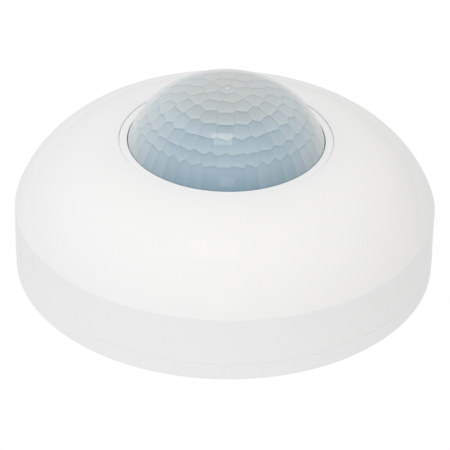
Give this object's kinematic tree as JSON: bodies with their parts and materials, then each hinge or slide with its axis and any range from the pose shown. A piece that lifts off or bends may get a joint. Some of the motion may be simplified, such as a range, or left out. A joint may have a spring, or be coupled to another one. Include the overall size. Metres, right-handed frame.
{
  "type": "ceiling motion sensor",
  "caption": "Round ceiling motion sensor with a domed cover, a faceted translucent lens, a twist-on head over a screwed base, and setting knobs behind the head.",
  "frame": {"origin": "centre of the ceiling face of the mounting base", "axes": "+Z out of the ceiling face towards the lens, -Y the front of the picture's view, -X the side with the surface cable panel"},
  "size_m": [0.115, 0.115, 0.0531],
  "materials": {
    "white_shell": "semi-gloss moulded white ABS",
    "white_bezel": "glossy white ABS",
    "milky_lens": "milky translucent polyethylene, smooth outside",
    "inner_plastic": "matte moulded white plastic",
    "grey_rubber": "soft grey rubber",
    "terminal_plastic": "matte light grey polyamide",
    "contact_brass": "bare stamped brass",
    "plated_steel": "zinc-plated steel",
    "board_laminate": "green solder resist over glass laminate",
    "can_steel": "nickel-plated steel",
    "filter_window": "dark coated silicon",
    "red_led": "clear red epoxy",
    "cell_ceramic": "ceramic cell under clear epoxy",
    "black_epoxy": "moulded black epoxy",
    "chip_ceramic": "fired ceramic",
    "relay_plastic": "black relay case",
    "capacitor_box": "yellow boxed film capacitor",
    "capacitor_sleeve": "dark shrink sleeve on an aluminium can",
    "varistor_epoxy": "dipped blue epoxy",
    "resistor_coat": "blue-grey lacquer",
    "fuse_coat": "green flameproof lacquer",
    "ferrite": "ferrite drum under shrink tube",
    "trimmer_plastic": "blue trimmer housing",
    "knob_plastic": "orange knob"
  },
  "bodies": {
    "base": {"mounting_base": "white_shell", "cable_grommet": "grey_rubber", "terminal_block": "terminal_plastic", "terminal_contacts": "contact_brass"},
    "head": {"top_cover": "white_shell", "fresnel_lens": "milky_lens", "lens_bezel": "white_bezel", "lens_retainer": "inner_plastic", "retainer_screws": "plated_steel", "chassis": "inner_plastic", "chassis_screws": "plated_steel", "circuit_board": "board_laminate", "board_screws": "plated_steel", "contact_blades": "contact_brass", "sensor_holder": "inner_plastic", "pir_header": "can_steel", "pir_can": "can_steel", "pir_window": "filter_window", "pir_pins": "can_steel", "status_led": "red_led", "light_sensor": "cell_ceramic", "microchip": "black_epoxy", "chip_parts": "chip_ceramic", "relay": "relay_plastic", "mains_capacitor": "capacitor_box", "electrolytic_capacitors": "capacitor_sleeve", "varistor": "varistor_epoxy", "power_resistor": "resistor_coat", "fuse_resistor": "fuse_coat", "diodes": "black_epoxy", "choke": "ferrite", "time_trimmer": "trimmer_plastic", "lux_trimmer": "trimmer_plastic"},
    "live_screw": {"live_screw": "plated_steel"},
    "neutral_screw": {"neutral_screw": "plated_steel"},
    "load_screw": {"load_screw": "plated_steel"},
    "time_setting": {"time_knob": "knob_plastic"},
    "lux_setting": {"lux_knob": "knob_plastic"}
  },
  "joints": [
    {"name": "head_twist", "type": "hinge", "parent": "base", "child": "head", "pos_m": [0, 0, 0.0056], "axis": [0, 0, 1], "range_deg": [0, 18]},
    {"name": "live_screw_turn", "type": "hinge", "parent": "base", "child": "live_screw", "pos_m": [0.00783, 0.01161, 0.0118], "axis": [0, 0, 1], "range_deg": [-180, 180]},
    {"name": "neutral_screw_turn", "type": "hinge", "parent": "base", "child": "neutral_screw", "pos_m": [0, 0.014, 0.0118], "axis": [0, 0, 1], "range_deg": [-180, 180]},
    {"name": "load_screw_turn", "type": "hinge", "parent": "base", "child": "load_screw", "pos_m": [-0.00783, 0.01161, 0.0118], "axis": [0, 0, 1], "range_deg": [-180, 180]},
    {"name": "time_knob_turn", "type": "hinge", "parent": "head", "child": "time_setting", "pos_m": [-0.03138, 0.0102, 0.0128], "axis": [0, 0, 1], "range_deg": [-135, 135]},
    {"name": "lux_knob_turn", "type": "hinge", "parent": "head", "child": "lux_setting", "pos_m": [-0.03138, -0.0102, 0.0128], "axis": [0, 0, 1], "range_deg": [-135, 135]}
  ]
}
